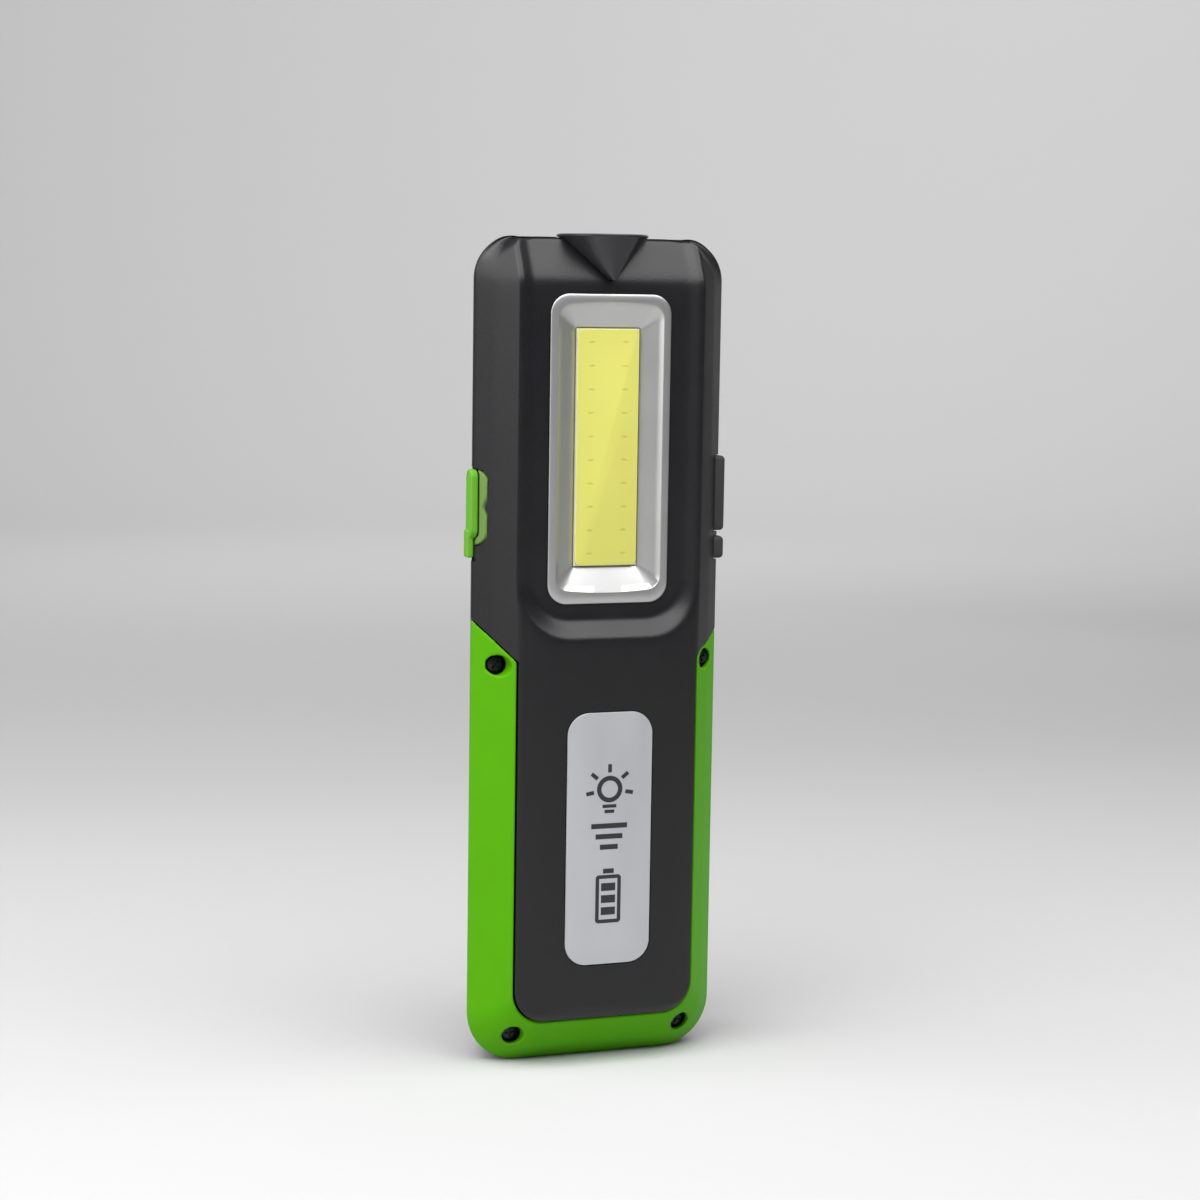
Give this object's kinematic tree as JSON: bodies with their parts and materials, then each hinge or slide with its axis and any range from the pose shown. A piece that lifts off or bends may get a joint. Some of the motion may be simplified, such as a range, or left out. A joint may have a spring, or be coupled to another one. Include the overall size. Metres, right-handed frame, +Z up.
{
  "type": "rechargeable led inspection lamp",
  "caption": "Handheld rechargeable inspection lamp with a flat panel light, an end torch, a rubber bumper, back magnets and a swivelling fold-out hook.",
  "frame": {"origin": "middle of the bottom of the bounding box, where the lamp stands on its lower end", "axes": "+Z up along the lamp's length, -Y out of the lit face, +Y out of the back with the magnets and the hook, +X to the switch side"},
  "size_m": [0.0688, 0.036, 0.21],
  "materials": {
    "charcoal_plastic": "soft-touch matte",
    "green_rubber": "satin moulded rubber",
    "silver_plastic": "satin silver paint",
    "board_white": "white solder mask",
    "phosphor": "matte yellow-green phosphor gel",
    "sink_aluminium": "plain sheet",
    "collar_plastic": "smooth dark moulding",
    "clear_lens": "clear moulded lens",
    "mirror_plating": "vacuum-plated mirror",
    "cell_wrap": "shrink wrap over a steel can",
    "nickel": "nickel strip",
    "foam": "soft foam",
    "circuit_board": "green solder mask",
    "socket_steel": "plated sheet",
    "switch_black": "moulded",
    "label_silver": "satin foil with a plain dark panel",
    "magnet_nickel": "nickel plate",
    "button_rubber": "matte",
    "hook_base_plastic": "fine texture",
    "screw_steel": "zinc plate",
    "lead_red": "insulation",
    "lead_black": "insulation"
  },
  "bodies": {
    "lamp_body": {"front_housing": "charcoal_plastic", "rear_housing": "charcoal_plastic", "bumper_frame": "green_rubber", "light_bezel": "silver_plastic", "cob_board": "board_white", "cob_phosphor": "phosphor", "heat_sink": "sink_aluminium", "heat_sink_screw_1": "screw_steel", "heat_sink_screw_2": "screw_steel", "torch_collar": "collar_plastic", "torch_lens": "clear_lens", "torch_reflector": "mirror_plating", "torch_board": "board_white", "torch_led": "phosphor", "battery_cell": "cell_wrap", "cell_contact_top": "nickel", "cell_contact_bottom": "nickel", "foam_pad": "foam", "control_board": "circuit_board", "board_screw_1": "screw_steel", "board_screw_2": "screw_steel", "charging_socket": "socket_steel", "usb_socket": "socket_steel", "tact_switch_main": "switch_black", "tact_switch_torch": "switch_black", "label_plate": "label_silver", "magnet_lower": "magnet_nickel", "magnet_upper": "magnet_nickel", "housing_screw_1": "screw_steel", "housing_screw_2": "screw_steel", "housing_screw_3": "screw_steel", "housing_screw_4": "screw_steel", "hook_base_screw": "screw_steel", "battery_lead_positive": "lead_red", "battery_lead_negative": "lead_black", "light_lead_positive": "lead_red", "light_lead_negative": "lead_black", "torch_lead_positive": "lead_red", "torch_lead_negative": "lead_black"},
    "port_cover": {"port_cover": "green_rubber"},
    "switch_button": {"switch_button": "button_rubber"},
    "torch_button": {"torch_button": "button_rubber"},
    "hook_base": {"hook_base": "hook_base_plastic", "hook_pin": "screw_steel"},
    "hook": {"hook": "screw_steel"}
  },
  "joints": [
    {"name": "port_cover_hinge", "type": "hinge", "parent": "lamp_body", "child": "port_cover", "pos_m": [-0.0333, -0.0044, 0.153], "axis": [0, 1, 0], "range_deg": [0, 100]},
    {"name": "switch_press", "type": "slide", "parent": "lamp_body", "child": "switch_button", "axis": [-1, 0, 0], "range_m": [0, 0.0008], "stiffness_N_per_m": 1500},
    {"name": "torch_press", "type": "slide", "parent": "lamp_body", "child": "torch_button", "axis": [-1, 0, 0], "range_m": [0, 0.0008], "stiffness_N_per_m": 1500},
    {"name": "hook_swivel", "type": "hinge", "parent": "lamp_body", "child": "hook_base", "pos_m": [0, 0.0132, 0.104], "axis": [0, 1, 0], "continuous": true},
    {"name": "hook_fold", "type": "hinge", "parent": "hook_base", "child": "hook", "pos_m": [0, 0.0151, 0.11], "axis": [-1, 0, 0], "range_deg": [0, 100]}
  ]
}
